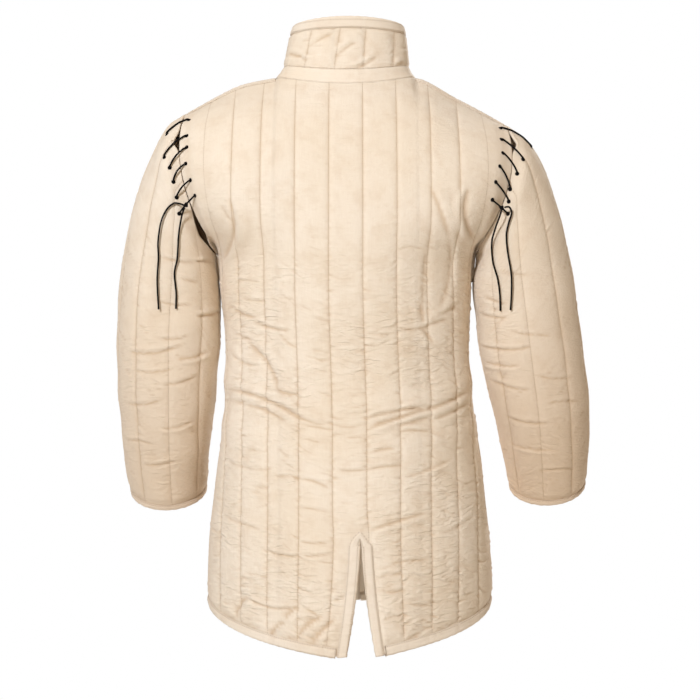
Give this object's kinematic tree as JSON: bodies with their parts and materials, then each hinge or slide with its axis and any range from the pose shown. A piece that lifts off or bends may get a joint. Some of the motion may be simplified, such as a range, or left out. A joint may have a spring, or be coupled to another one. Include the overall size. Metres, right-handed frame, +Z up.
{
  "type": "gambeson",
  "caption": "Padded, quilted jacket as worn, with a stand collar, laced-on sleeves, laced front and a split back tail.",
  "frame": {"origin": "middle of the neck opening at the height of the back neck seam, where the wearer's neck carries it", "axes": "+Z up, +Y the way the wearer faces, +X the wearer's right"},
  "size_m": [0.763, 0.3391, 0.9832],
  "materials": {
    "cream_cotton": "matte plain-woven cotton over padding",
    "cotton_tape": "matte folded cotton tape",
    "black_lace": "matte round black cord"
  },
  "bodies": {
    "root": {"back": "cream_cotton", "front_left": "cream_cotton", "front_right": "cream_cotton", "collar_band": "cream_cotton", "collar": "cream_cotton", "sleeve_left": "cream_cotton", "sleeve_right": "cream_cotton", "vent_binding_left": "cotton_tape", "vent_binding_right": "cotton_tape", "hem_binding_back_left": "cotton_tape", "hem_binding_back_right": "cotton_tape", "hem_binding_front_left": "cotton_tape", "hem_binding_front_right": "cotton_tape", "front_binding_left": "cotton_tape", "front_binding_right": "cotton_tape", "shoulder_tape_left": "cotton_tape", "shoulder_tape_right": "cotton_tape", "collar_binding": "cotton_tape", "cuff_binding_left": "cotton_tape", "cuff_binding_right": "cotton_tape", "lacing_left": "black_lace", "lacing_right": "black_lace", "lacing_front": "black_lace", "knot_left": "black_lace", "knot_right": "black_lace", "lace_end_left_outer": "black_lace", "lace_end_left_inner": "black_lace", "lace_end_right_outer": "black_lace", "lace_end_right_inner": "black_lace"}
  },
  "joints": []
}
